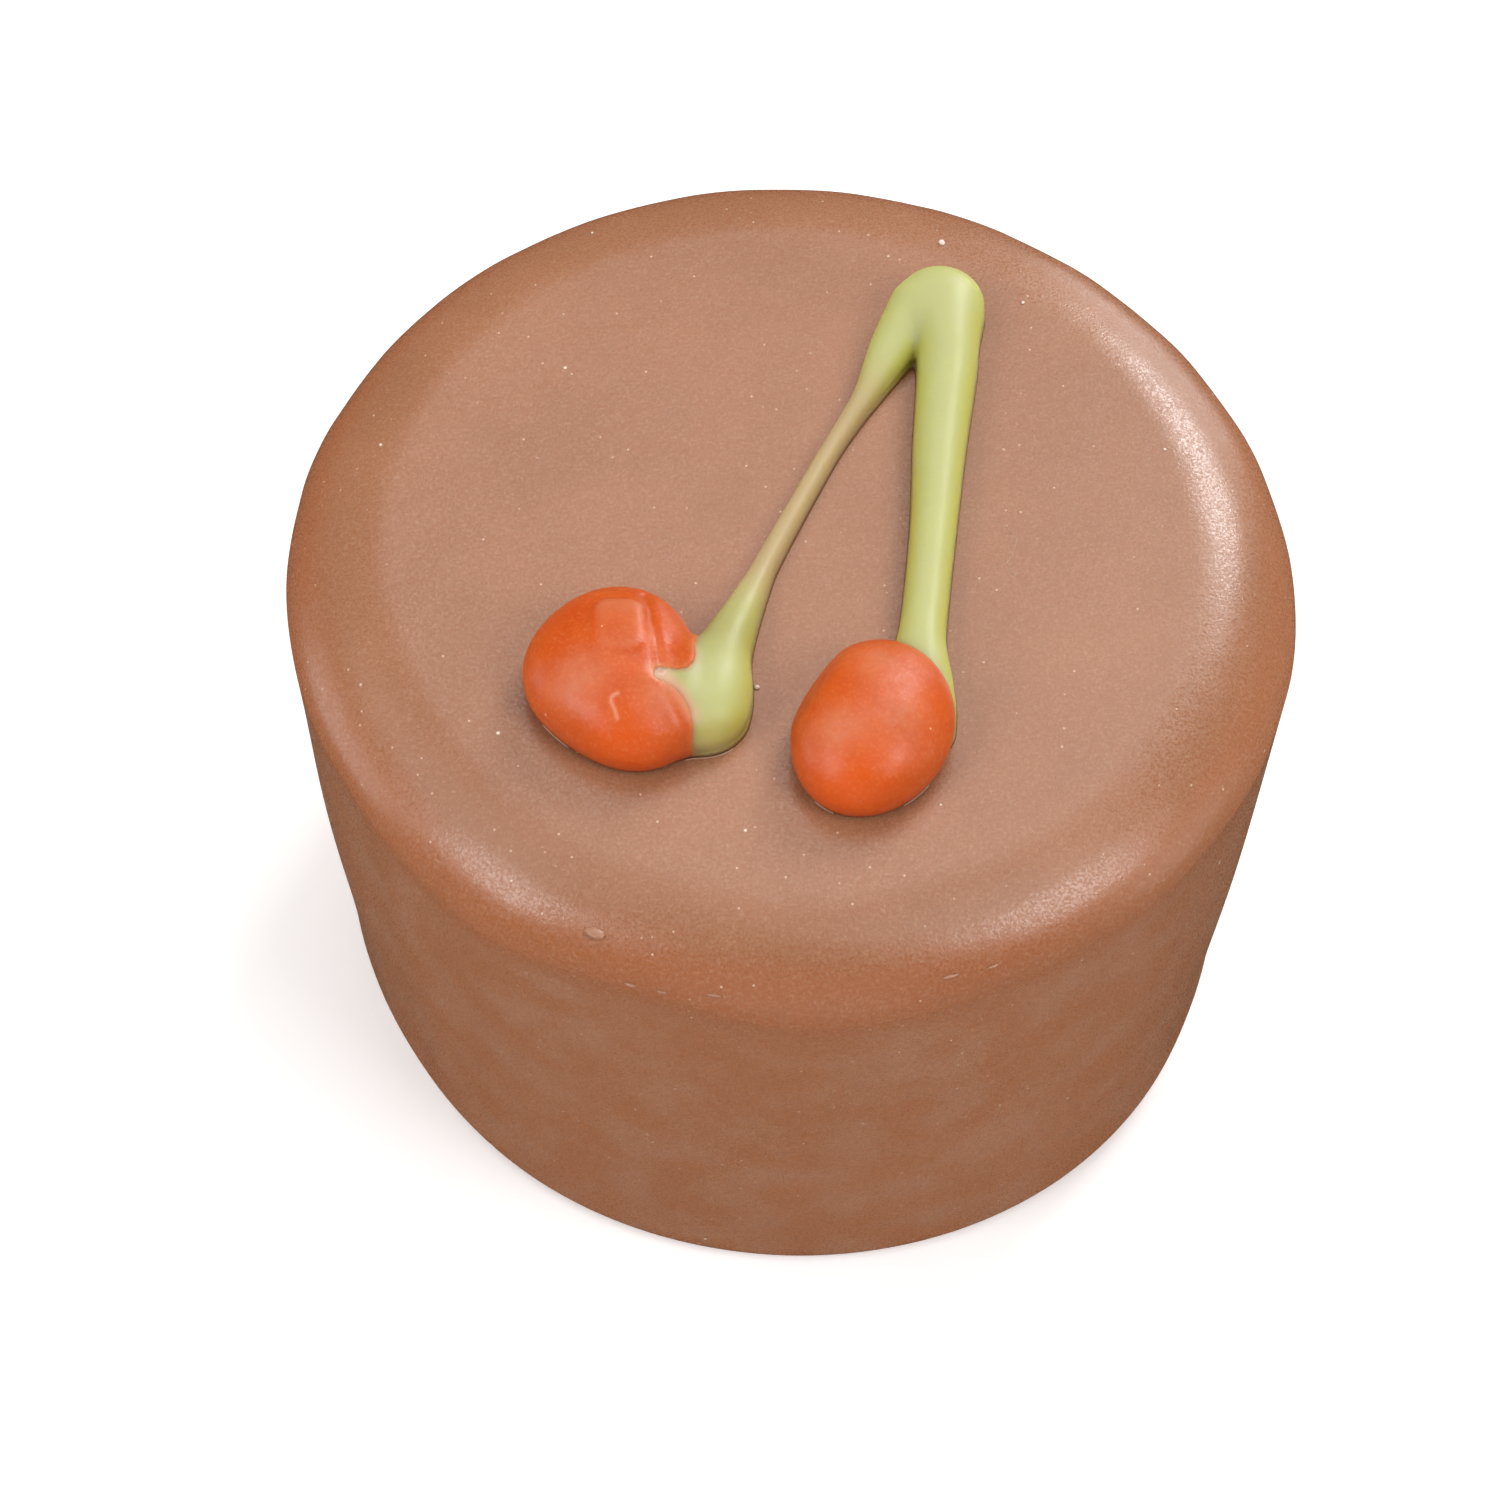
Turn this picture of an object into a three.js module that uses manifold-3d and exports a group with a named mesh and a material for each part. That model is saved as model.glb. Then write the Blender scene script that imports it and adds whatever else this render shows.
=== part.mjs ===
// Round milk chocolate bonbon. A pair of cherries is piped on its flat top:
// one green line for the two stalks, and a red drop on each end of it.
// Millimetres, +Z up. The origin is the middle of the flat underside.
import * as THREE from "three";
import { mergeVertices } from "three/addons/utils/BufferGeometryUtils.js";
import Module from "manifold-3d";

// Body: a low cylinder that narrows a little to its base, with a softly rolled rim.
const BODY_RADIUS = 14;
const BODY_HEIGHT = 17.8;
const BASE_RADIUS = 13.8;
const BASE_EDGE = 0.7;
const RIM_ROLL = 3.1; // from the side in to where the flat top begins
const RIM_DROP = 1.8; // from the flat top down to where the side begins
const BODY_SIDES = 96;
const EDGE_STEPS = 4;
const SIDE_STEPS = 7;
const RIM_STEPS = 9;

// The outline isn't a true circle: how far its second and third harmonics reach.
const OUTLINE = [
  { order: 2, cosine: 0, sine: -0.16 },
  { order: 3, cosine: -0.02, sine: -0.04 },
];

// The coat stands proud or hollow along the rim, and sags a little where it is proud.
const RIM_SWELLS = [
  { azimuth: -150, spread: 16, proud: -0.13 },
  { azimuth: -122, spread: 10, proud: 0.23 },
  { azimuth: -106, spread: 11, proud: -0.15 },
  { azimuth: -88, spread: 10, proud: 0.3 },
];
const RIM_SAG = 0.9; // how far the rim sags for each millimetre that it stands proud
const SWELL_FROM = 0.35; // share of the height where a rim swell begins
const SWELL_RISE = 0.5; // share of the height over which it grows to its full size

// Low bulges and dents of the side.
const SIDE_SWELLS = [
  { azimuth: -172, spread: 14, level: 8.0, depth: 3.9, proud: 0.12 },
  { azimuth: -150, spread: 14, level: 2.1, depth: 4.4, proud: -0.23 },
  { azimuth: -20, spread: 14, level: 1.8, depth: 3.6, proud: -0.26 },
];

// Piped line: places on the top, with the width and height of the line there.
const RIGHT_STALK = [
  { x: 4.27, y: 9.06, width: 2.1, height: 1.3 },
  { x: 4.38, y: 7.7, width: 1.94, height: 1.35 },
  { x: 4.35, y: 5.4, width: 1.65, height: 1.22 },
  { x: 4.14, y: 2.95, width: 1.46, height: 1.1 },
  { x: 3.93, y: 0.2, width: 1.25, height: 1.0 },
  { x: 3.67, y: -2.5, width: 1.2, height: 0.98 },
  { x: 3.52, y: -3.9, width: 1.34, height: 1.02 },
  { x: 3.38, y: -5.8, width: 2.24, height: 1.1 },
  { x: 3.3, y: -7.4, width: 2.2, height: 1.1 },
];
const LEFT_STALK = [
  { x: 4.2, y: 8.75, width: 1.7, height: 1.3 },
  { x: 3.5, y: 7.6, width: 1.62, height: 1.25 },
  { x: 2.84, y: 6.25, width: 1.24, height: 1.0 },
  { x: 2.13, y: 4.7, width: 0.78, height: 0.68 },
  { x: 1.6, y: 3.7, width: 0.54, height: 0.5 },
  { x: 0.9, y: 2.3, width: 0.45, height: 0.42 },
  { x: -0.46, y: -0.8, width: 0.53, height: 0.48 },
  { x: -0.96, y: -2.1, width: 0.68, height: 0.6 },
  { x: -1.7, y: -4.15, width: 1.46, height: 1.05 },
  { x: -2.18, y: -5.7, width: 2.5, height: 1.4 },
  { x: -2.4, y: -7.2, width: 2.2, height: 1.3 },
];
const LINE_LIFT = 0.35; // the widest level of the line, as a share of its height
const LINE_SIDES = 16;
const LINE_STEP = 0.6; // between two rings of the line
const CAP_RINGS = 4;

// Red drops: a turned oval each, with a third harmonic that makes it egg-shaped.
const DROP_LEVEL = 0.9; // the widest level above the top
const DROP_RISE = 1.3; // from there to the crown
const DROP_FULLNESS = 0.85; // under 1 is plumper than an ellipsoid
const DROPS = [
  {
    name: "cherry_left",
    x: -4.48,
    y: -5.51,
    across: 4.58,
    along: 5.74,
    turn: 22.6,
    egg: { cosine: -0.051, sine: -0.018 },
  },
  {
    name: "cherry_right",
    x: 2.21,
    y: -6.96,
    across: 4.16,
    along: 5.44,
    turn: -19.4,
    egg: { cosine: 0.01, sine: -0.008 },
  },
];
const DROP_SIDES = 36;
const DROP_RINGS = 18;
const DROP_GAP = 0.1; // between a drop and the line that it covers

const CHOCOLATE = { color: 0xb27f62, roughness: 0.42, metalness: 0 };
const GREEN_ICING = { color: 0xd0cd90, roughness: 0.4, metalness: 0 };
const RED_ICING = { color: 0xde6633, roughness: 0.4, metalness: 0 };

const radians = THREE.MathUtils.degToRad;
const degrees = THREE.MathUtils.radToDeg;
const wasm = await Module();
wasm.setup();

// Moves each vertex of a geometry to where place puts it.
function warp(geometry, place) {
  const position = geometry.getAttribute("position");
  const vertex = new THREE.Vector3();
  for (let i = 0; i < position.count; i++) {
    vertex.fromBufferAttribute(position, i);
    place(vertex);
    position.setXYZ(i, vertex.x, vertex.y, vertex.z);
  }
  return geometry;
}

function toSolid(geometry) {
  geometry.deleteAttribute("normal");
  geometry.deleteAttribute("uv");
  const merged = mergeVertices(geometry, 1e-4);
  return new wasm.Manifold(
    new wasm.Mesh({
      numProp: 3,
      vertProperties: new Float32Array(merged.getAttribute("position").array),
      triVerts: new Uint32Array(merged.index.array),
    }),
  );
}

function toGeometry(solid) {
  const mesh = solid.getMesh();
  const geometry = new THREE.BufferGeometry();
  geometry.setAttribute("position", new THREE.BufferAttribute(mesh.vertProperties, 3));
  geometry.setIndex(new THREE.BufferAttribute(mesh.triVerts, 1));
  geometry.computeVertexNormals();
  return geometry;
}

// The body's half section, from the middle of the base to the middle of the top.
function bodyProfile() {
  const profile = [new THREE.Vector2(0, 0)];
  for (let i = 0; i <= EDGE_STEPS; i++) {
    const angle = (i / EDGE_STEPS) * (Math.PI / 2);
    const r = BASE_RADIUS - BASE_EDGE + BASE_EDGE * Math.sin(angle);
    profile.push(new THREE.Vector2(r, BASE_EDGE - BASE_EDGE * Math.cos(angle)));
  }
  const sideTop = BODY_HEIGHT - RIM_DROP;
  for (let i = 1; i < SIDE_STEPS; i++) {
    const share = i / SIDE_STEPS;
    const r = THREE.MathUtils.lerp(BASE_RADIUS, BODY_RADIUS, share);
    profile.push(new THREE.Vector2(r, THREE.MathUtils.lerp(BASE_EDGE, sideTop, share)));
  }
  for (let i = 0; i <= RIM_STEPS; i++) {
    const angle = (i / RIM_STEPS) * (Math.PI / 2);
    const r = BODY_RADIUS - RIM_ROLL + RIM_ROLL * Math.cos(angle);
    profile.push(new THREE.Vector2(r, sideTop + RIM_DROP * Math.sin(angle)));
  }
  profile.push(new THREE.Vector2(0, BODY_HEIGHT));
  return profile;
}

// A bump of height 1 that falls off on both sides of its middle, in spreads.
function bump(away, spread) {
  return Math.exp(-0.5 * (away / spread) ** 2);
}

// The angle from one azimuth to another, in degrees, the short way round.
function turnBetween(azimuth, middle) {
  const turn = azimuth - radians(middle);
  return degrees(Math.atan2(Math.sin(turn), Math.cos(turn)));
}

function rimSwell(azimuth) {
  return RIM_SWELLS.reduce(
    (sum, s) => sum + s.proud * bump(turnBetween(azimuth, s.azimuth), s.spread),
    0,
  );
}

// How far the surface stands out from the true round body, at an azimuth and a height.
function standsProud(azimuth, z) {
  let proud = 0;
  for (const { order, cosine, sine } of OUTLINE) {
    proud += cosine * Math.cos(order * azimuth) + sine * Math.sin(order * azimuth);
  }
  for (const s of SIDE_SWELLS) {
    proud += s.proud * bump(turnBetween(azimuth, s.azimuth), s.spread) * bump(z - s.level, s.depth);
  }
  const low = SWELL_FROM * BODY_HEIGHT;
  const fade = THREE.MathUtils.smoothstep(z, low, low + SWELL_RISE * BODY_HEIGHT);
  return proud + fade * rimSwell(azimuth);
}

// How far the rim's outer edge sags. The flat top and the lower side stay where they are.
function sags(azimuth, z) {
  const edge = BODY_HEIGHT - RIM_DROP;
  const share =
    z > edge
      ? THREE.MathUtils.smoothstep(BODY_HEIGHT - z, 0, RIM_DROP)
      : THREE.MathUtils.smoothstep(z, SWELL_FROM * BODY_HEIGHT, edge);
  return RIM_SAG * rimSwell(azimuth) * share;
}

function makeBody() {
  const lathe = new THREE.LatheGeometry(bodyProfile(), BODY_SIDES);
  lathe.rotateX(Math.PI / 2);
  warp(lathe, (v) => {
    const azimuth = Math.atan2(v.y, v.x);
    const scale = 1 + standsProud(azimuth, v.z) / BODY_RADIUS;
    v.set(v.x * scale, v.y * scale, v.z - sags(azimuth, v.z));
  });
  return toGeometry(toSolid(lathe));
}

// A line of changing width laid along its stations, with a round nose at each end. Its
// section is an oval cut flat by the top. Growth makes it that much fatter all round.
function makeLine(stations, growth) {
  const at = (s) => new THREE.Vector3(s.x, s.y, 0);
  const size = (s) => new THREE.Vector3(s.width, s.height, 0);
  const route = new THREE.CatmullRomCurve3(stations.map(at), false, "catmullrom");
  const girth = new THREE.CatmullRomCurve3(stations.map(size), false, "catmullrom");
  const length = route.getLength();
  const capStart = stations[0].width / 2 / length;
  const capEnd = stations.at(-1).width / 2 / length;
  const profile = [];
  for (let i = 0; i < CAP_RINGS; i++) {
    const angle = (i / CAP_RINGS) * (Math.PI / 2);
    profile.push(new THREE.Vector2(Math.sin(angle), capStart * (1 - Math.cos(angle))));
  }
  const steps = Math.round(((1 - capStart - capEnd) * length) / LINE_STEP);
  for (let i = 0; i <= steps; i++) {
    profile.push(new THREE.Vector2(1, THREE.MathUtils.lerp(capStart, 1 - capEnd, i / steps)));
  }
  for (let i = CAP_RINGS - 1; i >= 0; i--) {
    const angle = (i / CAP_RINGS) * (Math.PI / 2);
    profile.push(new THREE.Vector2(Math.sin(angle), 1 - capEnd * (1 - Math.cos(angle))));
  }
  const up = new THREE.Vector3(0, 0, 1);
  const lathe = new THREE.LatheGeometry(profile, LINE_SIDES);
  // A vertex holds its place across the line in x, along the line in y and up in z.
  warp(lathe, (v) => {
    const share = route.getUtoTmapping(v.y);
    const centre = route.getPoint(share);
    const sideways = route.getTangent(share).cross(up).normalize();
    const { x: width, y: height } = girth.getPoint(share);
    const round = Math.hypot(v.x, v.z);
    const rise = (height + growth) * (LINE_LIFT * round + (1 - LINE_LIFT) * v.z);
    centre.addScaledVector(sideways, (width / 2 + growth) * v.x);
    v.set(centre.x, centre.y, BODY_HEIGHT + Math.max(0, rise));
  });
  return toSolid(lathe);
}

function makeStalks(growth) {
  return makeLine(RIGHT_STALK, growth).add(makeLine(LEFT_STALK, growth));
}

// A plump oval drop, cut flat by the top that it sits on.
function makeDrop({ x, y, across, along, turn, egg }) {
  const ball = new THREE.SphereGeometry(1, DROP_SIDES, DROP_RINGS);
  ball.rotateX(Math.PI / 2);
  warp(ball, (v) => {
    const azimuth = Math.atan2(v.y, v.x);
    const turned = azimuth - radians(turn);
    const oval = 1 / Math.hypot((2 * Math.cos(turned)) / across, (2 * Math.sin(turned)) / along);
    const skew = 1 + egg.cosine * Math.cos(3 * azimuth) + egg.sine * Math.sin(3 * azimuth);
    const reach = oval * skew * Math.hypot(v.x, v.y) ** DROP_FULLNESS;
    const rise = Math.max(0, DROP_LEVEL + DROP_RISE * v.z);
    v.set(x + reach * Math.cos(azimuth), y + reach * Math.sin(azimuth), BODY_HEIGHT + rise);
  });
  return toSolid(ball);
}

function meshOf(name, geometry, finish) {
  const mesh = new THREE.Mesh(geometry, new THREE.MeshStandardMaterial(finish));
  mesh.name = name;
  return mesh;
}

const bonbon = new THREE.Group();
bonbon.add(meshOf("chocolate_body", makeBody(), CHOCOLATE));
bonbon.add(meshOf("stem_piping", toGeometry(makeStalks(0)), GREEN_ICING));
const covered = makeStalks(DROP_GAP);
for (const drop of DROPS) {
  const solid = makeDrop(drop).subtract(covered);
  bonbon.add(meshOf(drop.name, toGeometry(solid), RED_ICING));
}

// The uneven outline is centred on the origin.
const middle = new THREE.Box3().setFromObject(bonbon).getCenter(new THREE.Vector3());
bonbon.position.set(-middle.x, -middle.y, 0);

export default bonbon;
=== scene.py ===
"""A round milk chocolate bonbon with a pair of cherries piped on its flat top.

Lengths are millimetres and angles degrees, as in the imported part, and each mesh is made in
metres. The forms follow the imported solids' formulas on a finer grid, with the relief that
the photograph shows. Heights of the piping are measured from the flat top.
"""

import math

import bpy
import numpy as np
from mathutils import Matrix, Vector


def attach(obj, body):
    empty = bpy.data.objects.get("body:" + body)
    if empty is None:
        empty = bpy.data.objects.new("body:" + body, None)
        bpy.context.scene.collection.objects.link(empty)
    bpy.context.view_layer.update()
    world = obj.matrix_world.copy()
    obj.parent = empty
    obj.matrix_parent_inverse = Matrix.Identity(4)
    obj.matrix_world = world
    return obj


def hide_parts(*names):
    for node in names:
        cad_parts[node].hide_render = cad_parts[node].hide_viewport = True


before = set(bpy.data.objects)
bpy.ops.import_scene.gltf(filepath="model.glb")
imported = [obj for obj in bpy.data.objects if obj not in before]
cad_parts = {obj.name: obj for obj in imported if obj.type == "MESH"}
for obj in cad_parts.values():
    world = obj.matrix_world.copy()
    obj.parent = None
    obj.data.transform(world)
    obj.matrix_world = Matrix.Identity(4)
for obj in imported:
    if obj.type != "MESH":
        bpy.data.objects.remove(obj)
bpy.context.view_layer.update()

MM = 0.001

# Body
BODY_RADIUS = 14.0
BODY_HEIGHT = 17.8
BASE_RADIUS = 13.8
BASE_EDGE = 0.7
RIM_ROLL = 3.1  # from the side in to where the flat top begins
RIM_DROP = 1.8  # from the flat top down to where the side begins
RIM_CREASE = 0.8  # 1 rolls over into the side as an ellipse does, less leaves a blunt crease

# The outline isn't a true circle: order, cosine and sine of its harmonics.
OUTLINE = [(2, 0.0, -0.16), (3, -0.02, -0.04)]

# Where the rim stands proud or hollow: azimuth, spread, proud.
RIM_SWELLS = [(-150, 16, -0.13), (-122, 10, 0.23), (-106, 11, -0.15), (-88, 10, 0.3)]
RIM_SAG = 0.9  # how far the rim sags for each millimetre that it stands proud
SWELL_FROM = 0.35  # share of the height where a rim swell begins
SWELL_RISE = 0.5  # share of the height over which it grows to its full size

# Low bulges and dents of the side: azimuth, spread, level, depth, proud.
SIDE_SWELLS = [
    (-172, 14, 8.0, 3.9, 0.12),
    (-150, 14, 2.1, 4.4, -0.23),
    (-20, 14, 1.8, 3.6, -0.26),
]

# Rows and columns of the coat's mesh
COAT_SIDES = 448
BASE_ROWS = 6
EDGE_ROWS = 8
SIDE_ROWS = 60
RIM_ROWS = 44
TOP_ROWS = 50

# Soft upright waves of the side
RIPPLES = 14
RIPPLE_DEPTH = 0.06
RIPPLE_ORDERS = (3, 24)  # waves round the body, from the fewest to just over the most
RIPPLE_LEAN = 0.3  # most that a wave leans, in radians for each millimetre of height
RIPPLE_SEED = 11

# Piped line: x, y, width and height at each station.
RIGHT_STALK = [
    (4.17, 9.16, 2.66, 1.3),
    (4.2, 7.85, 2.6, 1.33),
    (4.36, 6.6, 1.92, 1.3),
    (4.37, 5.4, 1.67, 1.22),
    (4.14, 2.95, 1.46, 1.1),
    (3.93, 0.2, 1.25, 1.0),
    (3.67, -2.5, 1.2, 0.98),
    (3.52, -3.9, 1.34, 1.02),
    (3.38, -5.8, 2.05, 1.05),
    (3.3, -7.4, 1.9, 1.0),
]
LEFT_STALK = [
    (4.05, 8.5, 1.9, 1.2),
    (3.46, 7.45, 1.64, 1.2),
    (2.84, 6.25, 1.3, 1.0),
    (2.13, 4.7, 0.76, 0.66),
    (1.6, 3.7, 0.6, 0.5),
    (0.9, 2.3, 0.55, 0.44),
    (-0.46, -0.8, 0.63, 0.5),
    (-0.96, -2.1, 0.8, 0.62),
    (-1.7, -4.15, 1.46, 1.05),
    (-2.18, -5.7, 2.5, 1.4),
    (-2.4, -7.2, 2.2, 1.3),
]
LINE_LIFT = 0.22  # the widest level of the line, as a share of its height
LINE_POWER = 2.4  # 2 is a half round line and more is flatter on top
FOOT = 0.06  # how far the line's brown edge spreads on the coat
FOOT_HEIGHT = 0.16  # how high that edge is
STEPS_BETWEEN_STATIONS = 14

# Red drops: a turned oval each, with a third harmonic that makes it egg-shaped.
DROP_LEVEL = 0.7  # the widest level above the top
DROP_RISE = 1.43  # from there to the crown
DROP_FALL = 1.75  # from there to where its lower half would close, under the top
DROP_FULLNESS = 0.97  # 1 is an ellipsoid and less is plumper
LEFT_DROP = {
    "x": -4.48, "y": -5.3, "across": 4.56, "along": 5.46, "turn": 22.6,
    "egg_cosine": -0.051, "egg_sine": -0.018,
}
RIGHT_DROP = {
    "x": 2.21, "y": -6.76, "across": 4.14, "along": 5.2, "turn": -19.4,
    "egg_cosine": 0.01, "egg_sine": -0.008,
}

# The left drop's relief. A fold runs down its back to the green notch, with a lobe on its
# right, a flat tongue lies on its back, and a soft ridge follows its edge below the notch.
FOLD = [(-3.8, -3.3), (-3.6, -4.3), (-3.42, -5.0), (-3.32, -5.8)]
FOLD_DEPTH = 0.05
FOLD_SPREAD = 0.11
LOBE = (-2.95, -4.75)
LOBE_SPREAD = 0.45
LOBE_PROUD = 0.08
TONGUE = (-4.42, -4.55)
TONGUE_HALF = (0.57, 0.82)
TONGUE_CORNER = 0.3
TONGUE_TOP = 2.04
TONGUE_TILT = 5
TONGUE_BLEND = 0.26
RIDGE = [(-3.75, -6.1), (-3.35, -6.45), (-2.95, -6.85), (-2.7, -7.3)]
RIDGE_PROUD = 0.06
RIDGE_SPREAD = 0.2

# The plan of the red icing where it meets the green one: overlapping discs.
RED_PATCH = [
    (-3.45, -7.2, 1.03),
    (-4.3, -7.9, 1.5),
    (-5.5, -5.6, 2.1),
    (-5.2, -4.0, 1.8),
    (-4.2, -3.5, 1.2),
    (-4.0, -4.8, 0.9),
    (-3.4, -3.7, 1.0),
    (-3.25, -4.3, 0.85),
    (-3.16, -5.03, 0.76),
]
PATCH_BLEND = 0.2
# A pale streak from the notch down to the right: partly pink icing smeared onto the green, partly
# painted highlight along the edge.
SMEAR_AND_HIGHLIGHT = [(-3.35, -5.9), (-2.8, -6.35), (-2.5, -6.85)]
SMEAR_AND_HIGHLIGHT_SPREAD = 0.2
SCRATCH = [(-4.36, -6.65), (-4.5, -6.72), (-4.52, -6.85), (-4.42, -7.05), (-4.35, -7.25)]
SCRATCH_SPREAD = 0.035
# Painted shade: the left drop's back left faces away from the lamps, so it is painted a deeper red.
SHADED_SHOULDER = (-5.6, -4.1)  # the left drop's back left, which is a deeper red
SHADED_SHOULDER_SPREAD = 0.65
# Painted highlights: paler patches where the drops shine, and painted light on their brighter fronts
PAINTED_HIGHLIGHT_SPOTS = [(-3.14, -6.59), (-5.3, -6.13), (2.38, -5.6), (2.93, -7.21), (1.32, -7.66)]
PAINTED_HIGHLIGHT_SPREAD = 0.5
# Painted light: brighter fronts of the drops.
LIT_FRONT_SPOTS = [(-4.2, -8.1), (1.5, -9.3)]
LIT_FRONT_SPREAD = 0.9

# The right drop's back left side is nearly flat: the facet's normal and how far out it lies.
FACET_NORMAL = (-0.78, 0.42, 0.46)
FACET_REACH = 1.79
FACET_BLEND = 0.2
RED_PROUD = 0.012  # how far the red icing stands over the green one
RED_OVERLAP = 0.25  # how far the green icing runs on under the red one

STALK_BLEND = 0.22  # how softly the two stalks run together
CHERRY_BLEND = 0.3  # how softly the green blob runs into the left drop
SUNK = 0.12  # how far the piping is pressed into the coat

# Boxes round the piped pieces: the lowest and the highest corner
GREEN_BOX = ((-4.2, -8.6, -0.25), (5.7, 9.4, 2.3))
LEFT_DROP_BOX = ((-7.4, -8.9, -0.25), (-1.9, -2.2, 2.4))
RIGHT_DROP_BOX = ((-0.4, -10.1, -0.25), (4.9, -3.8, 2.4))

# The piping's mesh is found on a grid, then its vertices settle on the true surface.
GRID_STEP = 0.055
SETTLE_ROUNDS = 3
SLOPE_STEP = 1e-3
LEAST_STEEPNESS = 0.1
LONGEST_MOVE = 0.5  # in grid steps

# Crumbs: x, y, size and how brown
CRUMBS = [
    (4.34, 10.6, 0.22, 0.0),
    (6.63, 8.3, 0.12, 0.0),
    (10.4, 3.0, 0.1, 0.0),
    (-0.81, -5.13, 0.15, 0.3),
    (-5.9, 11.1, 0.08, 0.0),
    (4.75, 6.2, 0.07, 0.0),
    (3.6, -3.9, 0.06, 0.0),
]
CRUMB_SHAPE = (1.0, 0.8, 0.6)  # width, depth and height as shares of the size
CRUMB_RISE = 0.2  # how far the middle is above the coat, as a share of the size
CRUMB_SEED = 5
MOST_TURN = 3  # radians

# Scuffs on the crease: x, y, length and width
SCUFFS = [
    (-3.9, -13.2, 0.34, 0.13),
    (-3.1, -13.42, 0.26, 0.1),
    (-1.75, -13.62, 0.4, 0.12),
    (4.2, -13.1, 0.5, 0.1),
    (5.3, -12.75, 0.3, 0.09),
    (-4.81, -12.17, 0.6, 0.34),
]
SCUFF_HEIGHT = 0.5  # as a share of the width
SCUFF_BROWN = 1.0
LUMP_SIDES = 10
LUMP_ROWS = 6
LUMP_UNEVEN = 0.16

# Hair on the top, and thin pale lines at the foot of the piping, which paint a highlight on the
# chocolate there
HAIR = [(5.9, 0.28), (6.2, -0.15), (6.08, -0.6), (5.9, -0.95), (6.1, -1.4)]
HAIR_HALF = 0.012
LINE_BROWN = 0.8
TUBE_SIDES = 6
CONTACT_HALF = 0.02
CONTACT_STEPS = 24
CONTACT_LEVEL = 0.02  # height above the top at which the foot of the piping is looked for
CONTACT_REACH = 5.0  # furthest from the middle that it is looked for
CONTACT_HALVINGS = 30
CONTACT_RISE = 0.2  # how far a line's middle is above the top, as a share of its half width
BLOB_MIDDLE = (-2.3, -6.3)

# Where the colours change, in millimetres
STAIN_REACH = 0.16  # how far red and green run into each other
LOW_EDGE = 0.14  # height below which the piping darkens: partly the coat's brown showing through, partly painted contact shade
THIN_FROM = 0.45  # heights of the line between which it turns from see-through to opaque
THIN_TO = 0.95
# Painted shade: the neck is darker where the left drop shades it.
NECK = (-1.6, -3.7)  # where the left stalk widens into its blob
NECK_SPREAD = 0.8
# Painted light: the blob's front is paler and brighter.
BLOB_LIT_FRONT = (-1.9, -7.9)
BLOB_LIT_FRONT_SPREAD = 0.6
RIM_TONE = [14.8, 16.3, 16.9, 17.6]  # heights between which the rim's roll is more orange
RIM_TONE_MEAN = 0.72
# Painted sheen: the roll is paler toward the back right lamp and more orange at its front left.
RIM_SHEEN_SWING = 0.35  # how much less orange its back right is, and more its front left
RIM_SHEEN_AZIMUTH = np.pi / 4  # azimuth of the back right

# Camera
CAMERA_DISTANCE = 91.0
CAMERA_ELEVATION = 56.522
CAMERA_ROLL = -0.398
CAMERA_AIM = (-1.1208, 0.0, 6.7965)
CAMERA_LENS = 73.4026
CLIP_START = 5.0


def smoothstep(value, low, high):
    """0 below low, 1 above high, and smooth between them."""
    share = np.clip((value - low) / (high - low), 0, 1)
    return share * share * (3 - 2 * share)


def bump(away, spread):
    """A bump of height 1 that falls off on both sides of its middle, in spreads."""
    return np.exp(-0.5 * (away / spread) ** 2)


def turn_between(azimuth, middle):
    """The angle from one azimuth to another, in degrees, the short way round."""
    return (np.degrees(azimuth) - middle + 180) % 360 - 180


def rim_swell(azimuth):
    return sum(proud * bump(turn_between(azimuth, m), spread) for m, spread, proud in RIM_SWELLS)


def stands_proud(azimuth, z):
    """How far the surface stands out from the true round body."""
    proud = sum(c * np.cos(n * azimuth) + s * np.sin(n * azimuth) for n, c, s in OUTLINE)
    for middle, spread, level, depth, height in SIDE_SWELLS:
        proud = proud + height * bump(turn_between(azimuth, middle), spread) * bump(z - level, depth)
    low = SWELL_FROM * BODY_HEIGHT
    return proud + smoothstep(z, low, low + SWELL_RISE * BODY_HEIGHT) * rim_swell(azimuth)


def sags(azimuth, z):
    """How far the rim's outer edge sags. The flat top and the lower side stay where they are."""
    edge = BODY_HEIGHT - RIM_DROP
    above = smoothstep(BODY_HEIGHT - z, 0, RIM_DROP)
    below = smoothstep(z, SWELL_FROM * BODY_HEIGHT, edge)
    return RIM_SAG * rim_swell(azimuth) * np.where(z > edge, above, below)


def ripple(azimuth, z):
    """Soft upright waves between 0 and 1, as a dipped coat sets."""
    rng = np.random.default_rng(RIPPLE_SEED)
    total = 0
    for _ in range(RIPPLES):
        order = rng.integers(*RIPPLE_ORDERS)
        lean = rng.uniform(-RIPPLE_LEAN, RIPPLE_LEAN)
        phase = rng.uniform(0, 2 * np.pi)
        total = total + np.cos(order * azimuth + lean * z + phase)
    return 0.5 + 0.5 * np.tanh(total / math.sqrt(RIPPLES))


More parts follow.
